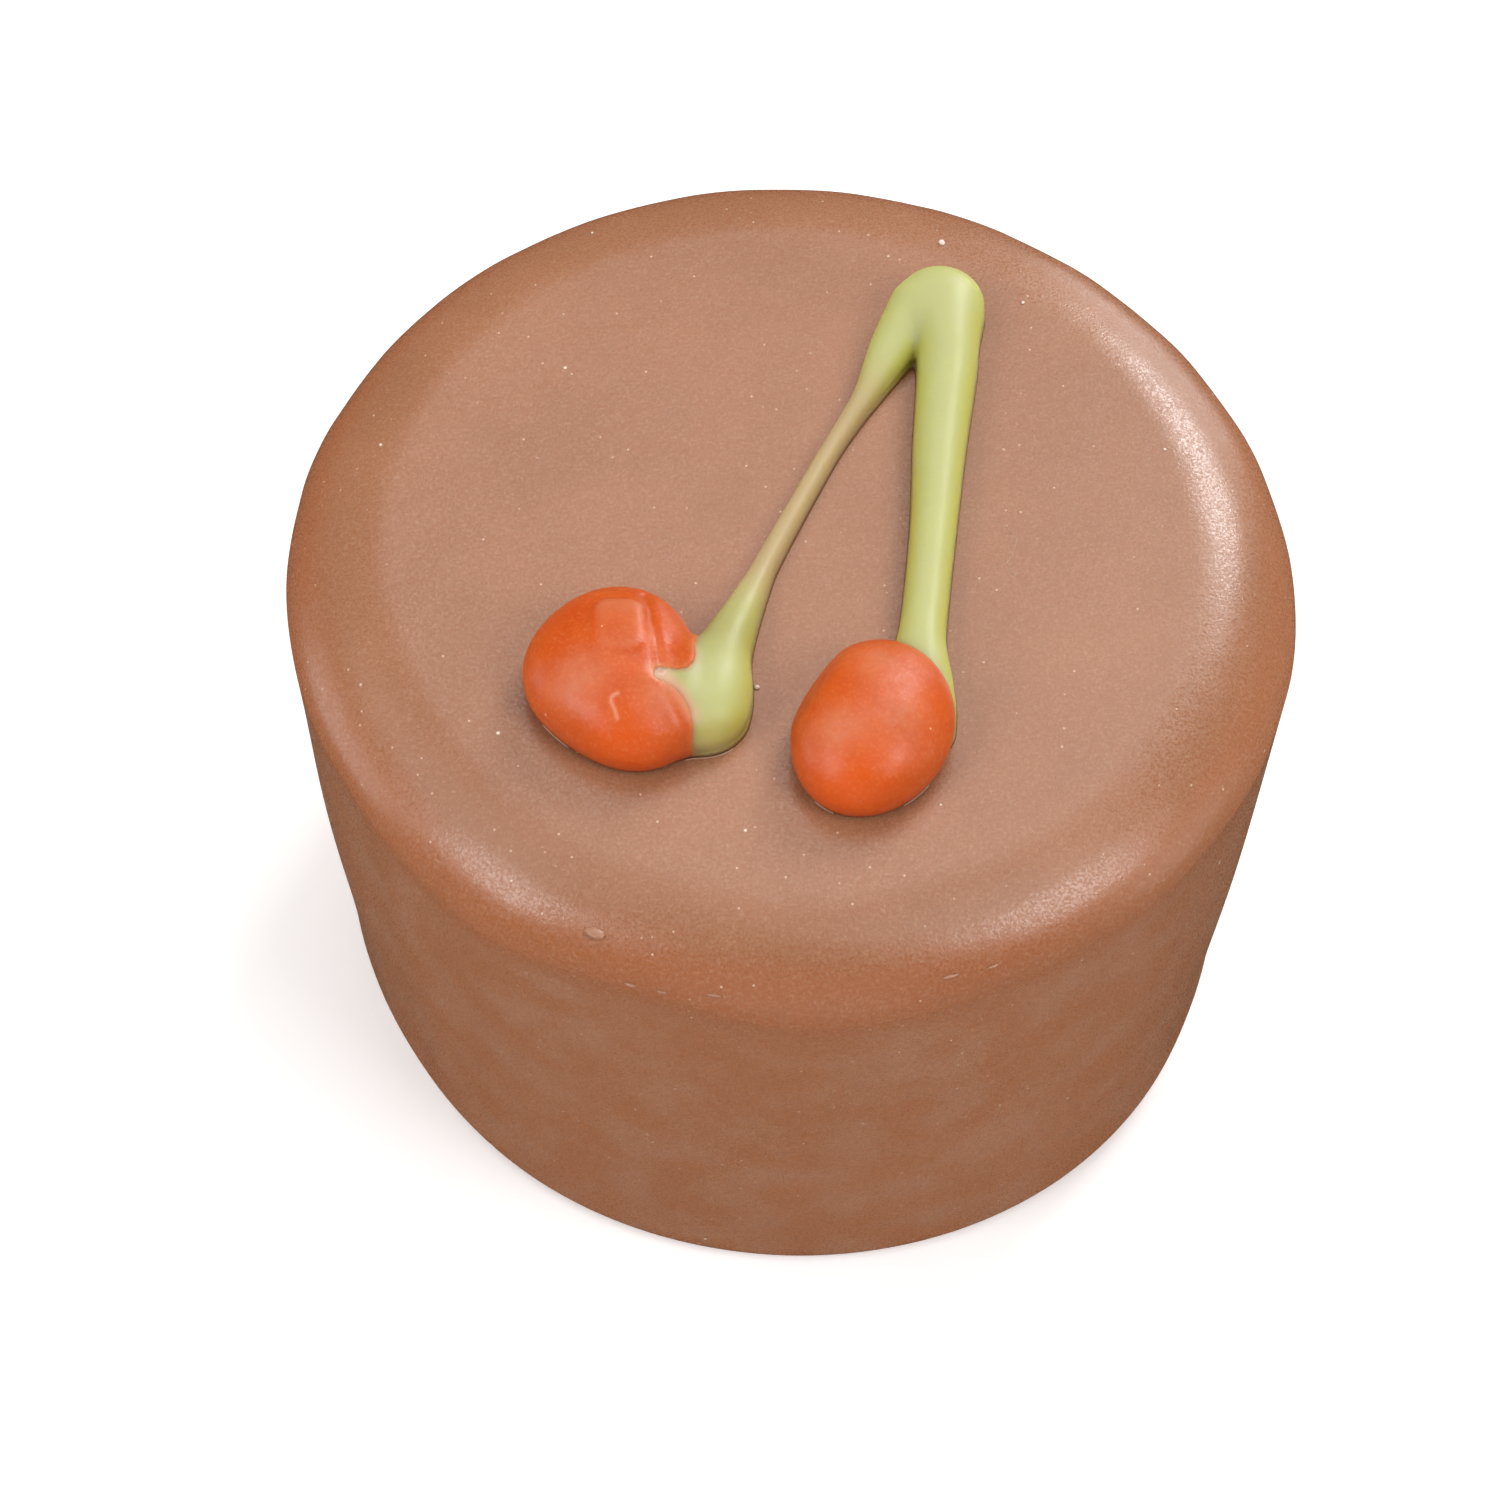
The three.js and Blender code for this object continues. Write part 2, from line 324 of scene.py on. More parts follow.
def coat_profile():
    """The coat's half section, from the middle of the base to the middle of the top."""
    base = [(share * (BASE_RADIUS - BASE_EDGE), 0) for share in np.arange(1, BASE_ROWS) / BASE_ROWS]
    side_top = BODY_HEIGHT - RIM_DROP
    edge_angles = np.linspace(0, np.pi / 2, EDGE_ROWS + 1)
    edge = [
        (BASE_RADIUS - BASE_EDGE * (1 - math.sin(a)), BASE_EDGE * (1 - math.cos(a)))
        for a in edge_angles
    ]
    side = [
        (BASE_RADIUS + (BODY_RADIUS - BASE_RADIUS) * s, BASE_EDGE + (side_top - BASE_EDGE) * s)
        for s in np.arange(1, SIDE_ROWS) / SIDE_ROWS
    ]
    rim = [
        (
            BODY_RADIUS - RIM_ROLL * (1 - math.cos(a)),
            side_top + RIM_DROP * math.sin(a) ** (1 / RIM_CREASE),
        )
        for a in np.linspace(0, np.pi / 2, RIM_ROWS + 1)
    ]
    top = [
        ((BODY_RADIUS - RIM_ROLL) * (1 - s), BODY_HEIGHT) for s in np.arange(1, TOP_ROWS) / TOP_ROWS
    ]
    return np.array(base + edge + side + rim + top)


def coat_points():
    """The coat's vertices, row by row from its base to its top, in millimetres."""
    azimuth = np.linspace(-np.pi, np.pi, COAT_SIDES, endpoint=False)[None, :]
    radius, z = coat_profile().T[:, :, None]
    on_side = smoothstep(z, 0, 3 * BASE_EDGE) * smoothstep(BODY_HEIGHT - z, 0, RIM_DROP)
    depth = RIPPLE_DEPTH * on_side
    scale = 1 + (stands_proud(azimuth, z) - depth * ripple(azimuth, z)) / BODY_RADIUS
    x = radius * scale * np.cos(azimuth)
    y = radius * scale * np.sin(azimuth)
    return np.stack([x, y, z - sags(azimuth, z)], axis=-1)


def coat_mesh():
    """Vertices and faces of the closed coat, from its base to its top."""
    return closed_rings(coat_points(), [[0, 0, 0], [0, 0, BODY_HEIGHT]], (0, 0, 0))


# The uneven outline is centred on the origin, and the piping goes with it.
OUTER = coat_points().reshape(-1, 3)
MIDDLE = (OUTER.min(axis=0) + OUTER.max(axis=0)) / 2 * (1, 1, 0)
COAT_HEIGHTS = np.append(np.repeat(coat_profile()[:, 1], COAT_SIDES), (0, BODY_HEIGHT))


def piped_line(stations):
    """A smooth line through its stations: x, y, half width and height at each step."""
    knots = np.array(stations)
    knots = np.vstack([2 * knots[0] - knots[1], knots, 2 * knots[-1] - knots[-2]])
    steps = []
    for i in range(len(stations) - 1):
        before, start, end, after = knots[i : i + 4]
        leave = (end - before) / 2
        arrive = (after - start) / 2
        for share in np.arange(STEPS_BETWEEN_STATIONS) / STEPS_BETWEEN_STATIONS:
            square, cube = share**2, share**3
            steps.append(
                start * (2 * cube - 3 * square + 1)
                + leave * (cube - 2 * square + share)
                + end * (3 * square - 2 * cube)
                + arrive * (cube - square)
            )
    line = np.array(steps + [knots[-2]]) * (1, 1, 0.5, 1)
    # The line has round ends, so its own ends draw back by half its width.
    length = np.concatenate([[0], np.cumsum(np.hypot(*np.diff(line[:, :2], axis=0).T))])
    kept = (length >= line[0, 2]) & (length <= length[-1] - line[-1, 2])
    return line[kept]


def line_field(x, y, z, line):
    """How far a point lies outside a piped line, and less than nought inside it."""
    least = np.full(np.broadcast(x, y, z).shape, np.inf)
    for start, end in zip(line[:-1], line[1:]):
        along = end[:2] - start[:2]
        share = ((x - start[0]) * along[0] + (y - start[1]) * along[1]) / (along @ along)
        share = np.clip(share, 0, 1)
        place_x, place_y, half, height = (s + share * (e - s) for s, e in zip(start, end))
        rise = (1 - LINE_LIFT) * height
        across = np.hypot(x - place_x, y - place_y) / half
        level = np.abs(z - LINE_LIFT * height) / rise
        size = (across**LINE_POWER + level**LINE_POWER) ** (1 / LINE_POWER)
        out = (size - 1) * np.minimum(half, rise)
        least = np.minimum(least, out)
    return least


def drop_field(x, y, z, drop):
    """How far a point lies outside a plump egg-shaped drop."""
    azimuth = np.arctan2(y - drop["y"], x - drop["x"])
    turned = azimuth - math.radians(drop["turn"])
    across = 2 * np.cos(turned) / drop["across"]
    along = 2 * np.sin(turned) / drop["along"]
    skew = 1 + drop["egg_cosine"] * np.cos(3 * azimuth) + drop["egg_sine"] * np.sin(3 * azimuth)
    out = np.hypot(x - drop["x"], y - drop["y"]) * np.hypot(across, along) / skew
    level = (z - DROP_LEVEL) / np.where(z > DROP_LEVEL, DROP_RISE, DROP_FALL)
    return (np.sqrt(out ** (2 / DROP_FULLNESS) + level**2) - 1) * DROP_RISE


def away_from(x, y, route):
    """How far a place is from a route of straight stretches."""
    least = np.inf
    for start, end in zip(route[:-1], route[1:]):
        along = np.subtract(end, start)
        share = ((x - start[0]) * along[0] + (y - start[1]) * along[1]) / (along @ along)
        share = np.clip(share, 0, 1)
        away = np.hypot(x - start[0] - share * along[0], y - start[1] - share * along[1])
        least = np.minimum(least, away)
    return least


def blend(first, second, reach):
    """The union of two fields, run together over a reach."""
    share = np.clip(0.5 + 0.5 * (second - first) / reach, 0, 1)
    return second + (first - second) * share - reach * share * (1 - share)


def red_patch(x, y):
    """How far a place lies outside the plan of the left drop's red icing."""
    patch = np.inf
    for middle_x, middle_y, radius in RED_PATCH:
        disc = np.hypot(x - middle_x, y - middle_y) - radius
        patch = disc if np.isscalar(patch) else blend(patch, disc, PATCH_BLEND)
    return patch


def tongue_field(x, y, z):
    """The left drop's tongue: a nearly level slab with an upright edge and soft corners."""
    out_right = np.maximum(np.abs(x - TONGUE[0]) - TONGUE_HALF[0] + TONGUE_CORNER, 0)
    out_back = np.maximum(np.abs(y - TONGUE[1]) - TONGUE_HALF[1] + TONGUE_CORNER, 0)
    edge = np.hypot(out_right, out_back) - TONGUE_CORNER
    top = z - TONGUE_TOP + (y - TONGUE[1]) * math.tan(math.radians(TONGUE_TILT))
    return -blend(-edge, -top, TONGUE_BLEND)


def left_drop_field(x, y, z):
    relief = FOLD_DEPTH * bump(away_from(x, y, FOLD), FOLD_SPREAD)
    relief = relief - LOBE_PROUD * bump(np.hypot(x - LOBE[0], y - LOBE[1]), LOBE_SPREAD)
    relief = relief - RIDGE_PROUD * bump(away_from(x, y, RIDGE), RIDGE_SPREAD)
    return blend(drop_field(x, y, z, LEFT_DROP) + relief, tongue_field(x, y, z), TONGUE_BLEND)


def right_drop_field(x, y, z):
    place = (x - RIGHT_DROP["x"], y - RIGHT_DROP["y"], z - DROP_LEVEL)
    facet = sum(n * p for n, p in zip(FACET_NORMAL, place)) - FACET_REACH
    return -blend(-drop_field(x, y, z, RIGHT_DROP), -facet, FACET_BLEND)


RIGHT_LINE = piped_line(RIGHT_STALK)
LEFT_LINE = piped_line(LEFT_STALK)


def green_field(x, y, z):
    """The green line. Where it meets the left drop, both have one common skin."""
    right = line_field(x, y, z, RIGHT_LINE)
    left = line_field(x, y, z, LEFT_LINE)
    stalks = blend(right, left, STALK_BLEND) - FOOT * (1 - smoothstep(z, 0, FOOT_HEIGHT))
    skin = blend(stalks, left_drop_field(x, y, z), CHERRY_BLEND)
    return np.maximum(np.maximum(skin, -red_patch(x, y) - RED_OVERLAP), -z - SUNK)


def red_left_field(x, y, z):
    left = line_field(x, y, z, LEFT_LINE)
    skin = blend(left, left_drop_field(x, y, z), CHERRY_BLEND)
    return np.maximum(np.maximum(skin - RED_PROUD, red_patch(x, y)), -z - SUNK)


def red_right_field(x, y, z):
    return np.maximum(right_drop_field(x, y, z), -z - SUNK)


def line_height(x, y):
    """How high the piped line is near a place."""
    height = 0
    closest = np.inf
    for line in (RIGHT_LINE, LEFT_LINE):
        for place_x, place_y, half, high in line:
            away = np.hypot(x - place_x, y - place_y) - half
            height = np.where(away < closest, high, height)
            closest = np.minimum(away, closest)
    return height


def spots(x, y, middles, spread):
    """Round soft spots about their middles."""
    return sum(bump(np.hypot(x - spot_x, y - spot_y), spread) for spot_x, spot_y in middles)


def green_marks(x, y, z):
    """Where the green icing is stained or thin, and where highlight, light and shade are painted on
    it.
    """
    return {
        "stain": 1 - smoothstep(red_patch(x, y), -STAIN_REACH / 2, STAIN_REACH),
        # Partly smeared pink icing, partly painted highlight.
        "smear_and_highlight": bump(away_from(x, y, SMEAR_AND_HIGHLIGHT), SMEAR_AND_HIGHLIGHT_SPREAD),
        "thin": 1 - smoothstep(line_height(x, y), THIN_FROM, THIN_TO),
        # Painted shade at the neck.
        "neck_shade": spots(x, y, [NECK], NECK_SPREAD),
        # Painted light on the blob's front.
        "lit_front": spots(x, y, [BLOB_LIT_FRONT], BLOB_LIT_FRONT_SPREAD),
        # Partly the coat's brown, partly painted contact shade.
        "low": 1 - smoothstep(z, LOW_EDGE / 3, LOW_EDGE),
    }


def red_marks(x, y, z):
    """Painted highlights on a drop, painted light at its front, and its low edge, partly painted
    contact shade.
    """
    return {
        # Painted highlights.
        "painted_highlight": spots(x, y, PAINTED_HIGHLIGHT_SPOTS, PAINTED_HIGHLIGHT_SPREAD),
        # Painted light on the drops' fronts.
        "lit_front": spots(x, y, LIT_FRONT_SPOTS, LIT_FRONT_SPREAD),
        # Partly the coat's brown, partly painted contact shade.
        "low": 1 - smoothstep(z, LOW_EDGE / 2, 2 * LOW_EDGE),
    }


def red_left_marks(x, y, z):
    """The same, and the left drop's stains, scratch and smear, and its painted highlight, shade and
    sheen.
    """
    return {
        **red_marks(x, y, z),
        "stain": smoothstep(red_patch(x, y), -STAIN_REACH, STAIN_REACH / 2),
        # Partly smeared pink icing, partly painted highlight.
        "smear_and_highlight": bump(away_from(x, y, SMEAR_AND_HIGHLIGHT), SMEAR_AND_HIGHLIGHT_SPREAD),
        # Painted sheen on the flat tongue.
        "tongue_sheen": 1 - smoothstep(tongue_field(x, y, z), 0, TONGUE_BLEND / 2),
        "scratch": bump(away_from(x, y, SCRATCH), SCRATCH_SPREAD),
        # Painted shade on the back left shoulder.
        "shoulder_shade": spots(x, y, [SHADED_SHOULDER], SHADED_SHOULDER_SPREAD),
    }


def coat_marks(vertices):
    """How orange the rim's roll is, with painted sheen at its back right, and where the side is."""
    rise_from, rise_to, fall_from, fall_to = RIM_TONE
    above = smoothstep(COAT_HEIGHTS, rise_from, rise_to)
    azimuth = np.arctan2(vertices[:, 1], vertices[:, 0])
    # Painted sheen: less orange toward the back right lamp.
    share = RIM_TONE_MEAN - RIM_SHEEN_SWING * np.cos(azimuth - RIM_SHEEN_AZIMUTH)
    roll = above - smoothstep(COAT_HEIGHTS, fall_from, fall_to)
    return {"rim": share * roll, "side": 1 - above}


def shifted(values, axis, start):
    """The values one cell on along an axis, or those one cell back."""
    cut = [slice(None)] * 3
    cut[axis] = slice(1, None) if start else slice(None, -1)
    return values[tuple(cut)]


def surface(field, low, high):
    """Vertices and quads of a field's surface, with one vertex in each cell that it crosses."""
    x, y, z = np.meshgrid(
        *[np.arange(a, b + GRID_STEP, GRID_STEP) for a, b in zip(low, high)], indexing="ij"
    )
    values = field(x[:, :, :1], y[:, :, :1], z)
    inside = values < 0
    cells = tuple(n - 1 for n in values.shape)
    total = np.zeros(cells + (3,))
    count = np.zeros(cells)
    crossings = []
    for axis in range(3):
        first, second = shifted(values, axis, False), shifted(values, axis, True)
        change = (first < 0) != (second < 0)
        share = np.where(change, first / np.where(change, first - second, 1), 0)
        crossings.append(change)
        others = [other for other in range(3) if other != axis]
        for corner in ((0, 0), (0, 1), (1, 0), (1, 1)):
            cut = [slice(None)] * 3
            for other, step in zip(others, corner):
                cut[other] = slice(step, step + cells[other])
            there = change[tuple(cut)]
            place = np.zeros(cells + (3,))
            place[..., axis] = share[tuple(cut)]
            for other, step in zip(others, corner):
                place[..., other] = step
            total += np.where(there[..., None], place, 0)
            count += there
    crossed = count > 0
    index = np.full(cells, -1)
    index[crossed] = np.arange(crossed.sum())
    corner = np.argwhere(crossed)
    vertices = (corner + total[crossed] / count[crossed][:, None]) * GRID_STEP + np.array(low)
    quads = []
    for axis in range(3):
        b, c = (axis + 1) % 3, (axis + 2) % 3
        edge = np.argwhere(crossings[axis])
        edge = edge[(edge[:, b] > 0) & (edge[:, c] > 0)]
        edge = edge[(edge[:, b] < cells[b]) & (edge[:, c] < cells[c])]
        around = []
        for step_b, step_c in ((1, 1), (0, 1), (0, 0), (1, 0)):
            cell = edge.copy()
            cell[:, b] -= step_b
            cell[:, c] -= step_c
            around.append(index[tuple(cell.T)])
        ring = np.stack(around, axis=1)
        leaves = inside[tuple(edge.T)]
        quads.append(np.where(leaves[:, None], ring, ring[:, ::-1]))
    vertices, quads = largest_part(vertices, np.concatenate(quads))
    return settle(field, vertices), quads


def largest_part(vertices, faces):
    """The largest connected part of a mesh, without the specks that a cut can leave."""
    part = np.arange(len(vertices))
    changed = True
    while changed:
        before = part.copy()
        np.minimum.at(part, faces, part[faces].min(axis=1)[:, None])
        part = part[part]
        changed = (part != before).any()
    kept = part == np.bincount(part).argmax()
    place = np.cumsum(kept) - 1
    return vertices[kept], place[faces[kept[faces[:, 0]]]]


def settle(field, vertices):
    """Moves vertices along the field's slope until they lie on its surface."""
    for _ in range(SETTLE_ROUNDS):
        here = field(*vertices.T)
        slope = np.empty_like(vertices)
        for axis in range(3):
            step = np.zeros(3)
            step[axis] = SLOPE_STEP
            rise = field(*(vertices + step).T) - field(*(vertices - step).T)
            slope[:, axis] = rise / (2 * SLOPE_STEP)
        steep = np.maximum((slope**2).sum(axis=1), LEAST_STEEPNESS)
        move = (here / steep)[:, None] * slope
        length = np.linalg.norm(move, axis=1, keepdims=True)
        vertices = vertices - move / np.maximum(length / (LONGEST_MOVE * GRID_STEP), 1)
    return vertices


def add_piece(name, vertices, faces, material, marks):
    """A smooth mesh from millimetre points, which rides on the part's one body."""
    mesh = bpy.data.meshes.new(name)
    mesh.from_pydata(((vertices - MIDDLE) * MM).tolist(), [], [tuple(map(int, f)) for f in faces])
    mesh.validate()
    mesh.shade_smooth()
    mesh.materials.append(material)
    for mark, values in marks.items():
        attribute = mesh.attributes.new(mark, "FLOAT", "POINT")
        attribute.data.foreach_set("value", values.astype(np.float32))
    piece = bpy.data.objects.new(name, mesh)
    bpy.context.scene.collection.objects.link(piece)
    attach(piece, "root")
    return piece


def add_piping(name, field, find_marks, box, material, node):
    """A piped piece from its field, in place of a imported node."""
    vertices, faces = surface(field, *box)
    marks = find_marks(*vertices.T)
    vertices[:, 2] += BODY_HEIGHT
    piece = add_piece(name, vertices, faces, material, marks)
    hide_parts(node)


SPECK_CORE = 0.35  # distances from a speck's middle, in sizes, between which it fades
SPECK_EDGE = 0.6
PICK_STEP = 0.01


class Nodes:
    """A material's node tree. Each method adds nodes and returns an output of the last one."""

    def __init__(self, name, shader_values):
        self.material = bpy.data.materials.new(name)
        self.material.use_nodes = True
        self.tree = self.material.node_tree
        self.shader = self.tree.nodes["Principled BSDF"]
        for socket, value in shader_values.items():
            self.shader.inputs[socket].default_value = value
        self.place = self.tree.nodes.new("ShaderNodeTexCoord").outputs["Object"]

    def add(self, kind, output, **inputs):
        node = self.tree.nodes.new(kind)
        for name, value in inputs.items():
            socket = node.inputs[name.replace("_", " ")]
            if isinstance(value, bpy.types.NodeSocket):
                self.tree.links.new(value, socket)
            else:
                socket.default_value = value
        return node.outputs[output]

    def noise(self, grain, detail=2.0, roughness=0.5):
        """Noise whose features are about one grain across, in millimetres."""
        return self.add(
            "ShaderNodeTexNoise", "Fac", Vector=self.place, Scale=1 / (grain * MM),
            Detail=detail, Roughness=roughness,
        )

    def spread(self, value, low, high, to_low, to_high):
        """Runs from one result to another as a value runs from low to high."""
        node = self.tree.nodes.new("ShaderNodeMapRange")
        self.tree.links.new(value, node.inputs["Value"])
        limits = {"From Min": low, "From Max": high, "To Min": to_low, "To Max": to_high}
        for name, limit in limits.items():
            node.inputs[name].default_value = limit
        return node.outputs["Result"]

    def mix(self, share, first, second):
        """The first colour, with a share of the second."""
        node = self.tree.nodes.new("ShaderNodeMix")
        node.data_type = "RGBA"
        self.tree.links.new(share, node.inputs[0])
        for socket, colour in ((node.inputs[6], first), (node.inputs[7], second)):
            if isinstance(colour, bpy.types.NodeSocket):
                self.tree.links.new(colour, socket)
            else:
                socket.default_value = (*colour, 1)
        return node.outputs[2]

    def mark(self, name):
        """A value that the mesh carries at each vertex."""
        node = self.tree.nodes.new("ShaderNodeAttribute")
        node.attribute_name = name
        return node.outputs["Fac"]

    def tinted(self, colour, tints, *marks):
        """A colour that takes up the tint of each mark in turn."""
        for mark in marks:
            start, share, tint = tints[mark]
            colour = self.mix(self.spread(self.mark(mark), start, 1.0, 0.0, share), colour, tint)
        return colour

    def upness(self):
        """The upright share of the surface's own direction."""
        normal = self.tree.nodes.new("ShaderNodeNewGeometry").outputs["Normal"]
        return self.add("ShaderNodeSeparateXYZ", "Z", Vector=normal)

    def specks(self, apart, size, share):
        """1 on small round specks. Cells are about so far apart, and a share of them has one."""
        node = self.tree.nodes.new("ShaderNodeTexVoronoi")
        node.inputs["Scale"].default_value = 1 / (apart * MM)
        self.tree.links.new(self.place, node.inputs["Vector"])
        core, edge = SPECK_CORE * size / apart, SPECK_EDGE * size / apart
        spot = self.spread(node.outputs["Distance"], core, edge, 1.0, 0.0)
        chance = self.add("ShaderNodeSeparateColor", "Red", Color=node.outputs["Color"])
        picked = self.spread(chance, share, share + PICK_STEP, 1.0, 0.0)
        return self.product(spot, picked)

    def product(self, first, second):
        node = self.tree.nodes.new("ShaderNodeMath")
        node.operation = "MULTIPLY"
        self.tree.links.new(first, node.inputs[0])
        self.tree.links.new(second, node.inputs[1])
        return node.outputs[0]

    def relief(self, height, depth, under=None):
        """Bump of a depth in millimetres."""
        inputs = {"Height": height, "Strength": 1.0, "Distance": depth * MM}
        if under is not None:
            inputs["Normal"] = under
        return self.add("ShaderNodeBump", "Normal", **inputs)

    def into(self, socket, value):
        self.tree.links.new(value, self.shader.inputs[socket])


# Colours are linear, and grains and depths are in millimetres. A spread is two values of a
# noise and the results at them. A tint is the value of its mark where it starts, its share
# where the mark is 1, and its colour. Specks are how far apart, their size and their share.
CLOUD_SPREAD = (0.35, 0.65, 0.0, 1.0)
CLOUD_DETAIL = 3.0
FINE_ROUGHNESS = 0.6

# Coat
COAT_SHADER = {
    "IOR": 1.5, "Specular IOR Level": 0.58,
    "Subsurface Weight": 0.15, "Subsurface Scale": 0.6 * MM, "Subsurface Radius": (1.0, 0.45, 0.25),
}
TOP_GRAIN = 4.0
TOP_COLOURS = [(0.317, 0.134, 0.065), (0.347, 0.149, 0.074)]
SIDE_GRAIN = 1.9
SIDE_SPREAD = (0.4, 0.65, 0.0, 1.0)
SIDE_COLOURS = [(0.355, 0.135, 0.057), (0.372, 0.163, 0.084)]
RIM_COLOUR = (0.355, 0.12, 0.045)
COAT_GRAIN = 0.09
COAT_GRAIN_DEPTH = 0.007
COAT_LIGHT_SPREAD = (0.52, 0.72, 0.0, 0.3)
COAT_LIGHT_COLOUR = (0.53, 0.31, 0.2)
COAT_DARK_SPREAD = (0.46, 0.3, 0.0, 0.2)
COAT_DARK_COLOUR = (0.2, 0.075, 0.035)
COAT_FINE_SPECKS = (0.42, 0.065, 0.4)
COAT_FINE_SPECK_COLOUR = (0.66, 0.45, 0.33)
COAT_WIDE_SPECKS = (1.3, 0.1, 0.4)
COAT_WIDE_SPECK_COLOUR = (0.78, 0.66, 0.54)
COAT_SHEEN_GRAIN = 0.07
COAT_SHEEN_DETAIL = 1.0
COAT_SHEEN_SPREAD = (0.35, 0.65, 0.18, 0.44)
COAT_WAVE_GRAIN = 1.5
COAT_WAVE_DEPTH = 0.02

# Icing of both colours
SHEEN_GRAIN = 0.5

# Green icing
GREEN_SHADER = {
    "IOR": 1.46,
    "Subsurface Weight": 0.85, "Subsurface Scale": 1.3 * MM, "Subsurface Radius": (0.9, 1.0, 0.35),
}
# Painted sheen: the green is paler and greyer where it faces up.
CREST_SHEEN_SPREAD = (0.45, 0.95, 0.0, 1.0)
FLANK_COLOUR = (0.48, 0.47, 0.1)
CREST_SHEEN_COLOUR = (0.45, 0.45, 0.19)
CLOUDY_GRAIN = 0.9
CLOUDY_SPREAD = (0.4, 0.7, 0.0, 0.5)
CLOUDY_COLOUR = (0.46, 0.47, 0.18)
# Painted shade: dark brown where the surface faces sideways and down, under the line's flanks.
UNDER_SHADE_SPREAD = (-0.05, 0.15, 0.6, 0.0)
UNDER_SHADE_COLOUR = (0.2, 0.13, 0.03)
GREEN_TINTS = {
    "thin": (0.0, 0.85, (0.42, 0.285, 0.165)),
    "neck_shade": (0.0, 0.65, (0.35, 0.32, 0.11)),
    "smear_and_highlight": (0.2, 0.85, (0.66, 0.35, 0.23)),
    "stain": (0.0, 0.9, (0.6, 0.23, 0.08)),
    "lit_front": (0.0, 0.8, (0.62, 0.5, 0.24)),
    "low": (0.0, 1.0, (0.19, 0.075, 0.022)),
}
GREEN_SHEEN_SPREAD = (0.3, 0.7, 0.38, 0.48)
GREEN_GRAIN = 0.12
GREEN_GRAIN_DEPTH = 0.004
GREEN_WAVE_GRAIN = 0.8
GREEN_WAVE_DEPTH = 0.015

# Red icing
RED_SHADER = {
    "IOR": 1.46, "Specular IOR Level": 0.33,
    "Subsurface Weight": 0.3, "Subsurface Scale": 0.6 * MM, "Subsurface Radius": (1.0, 0.3, 0.12),
}
RED_CLOUD_GRAIN = 0.8
RED_COLOURS = [(0.53, 0.072, 0.005), (0.58, 0.092, 0.009)]
# Painted highlights on the drops, broken up by a noise like bloom
BLOOM_AND_HIGHLIGHT_GRAIN = 0.3
BLOOM_AND_HIGHLIGHT_SPREAD = (0.3, 0.6, 0.6, 1.0)
BLOOM_AND_HIGHLIGHT_SHARE = 0.4
BLOOM_AND_HIGHLIGHT_COLOUR = (0.6, 0.27, 0.165)
RED_GRAIN = 0.1
RED_GRAIN_DEPTH = 0.008
RED_LIGHT_SPREAD = (0.5, 0.8, 0.0, 0.3)
RED_LIGHT_COLOUR = (0.75, 0.25, 0.09)
RED_SPECKS = (0.7, 0.08, 0.3)
RED_SPECK_COLOUR = (0.76, 0.36, 0.18)
RED_TINTS = {
    "lit_front": (0.0, 0.8, (0.72, 0.1, 0.008)),
    "shoulder_shade": (0.0, 0.6, (0.5, 0.06, 0.007)),
    # Painted sheen on the tongue.
    "tongue_sheen": (0.0, 0.9, (0.56, 0.19, 0.085)),
    "smear_and_highlight": (0.3, 0.5, (0.72, 0.35, 0.22)),
    "scratch": (0.0, 0.6, (0.78, 0.38, 0.24)),
    "stain": (0.0, 0.8, (0.68, 0.24, 0.07)),
    "low": (0.0, 0.8, (0.22, 0.05, 0.012)),
}
RED_SHEEN_SPREAD = (0.3, 0.7, 0.28, 0.42)
RED_WAVE_GRAIN = 0.9
RED_WAVE_DEPTH = 0.03

# Crumbs, scuffs, hair and the pale lines that paint a highlight at the foot of the piping
CRUMB_SHADER = {"Roughness": 0.35, "Subsurface Weight": 0.3, "Subsurface Scale": 0.1 * MM}
CRUMB_GRAIN = 0.1
CRUMB_COLOURS = [(0.78, 0.66, 0.55), (0.86, 0.8, 0.72)]
CRUMB_BROWN = (0.39, 0.19, 0.11)
CRUMB_RELIEF_GRAIN = 0.05
CRUMB_RELIEF_DEPTH = 0.01


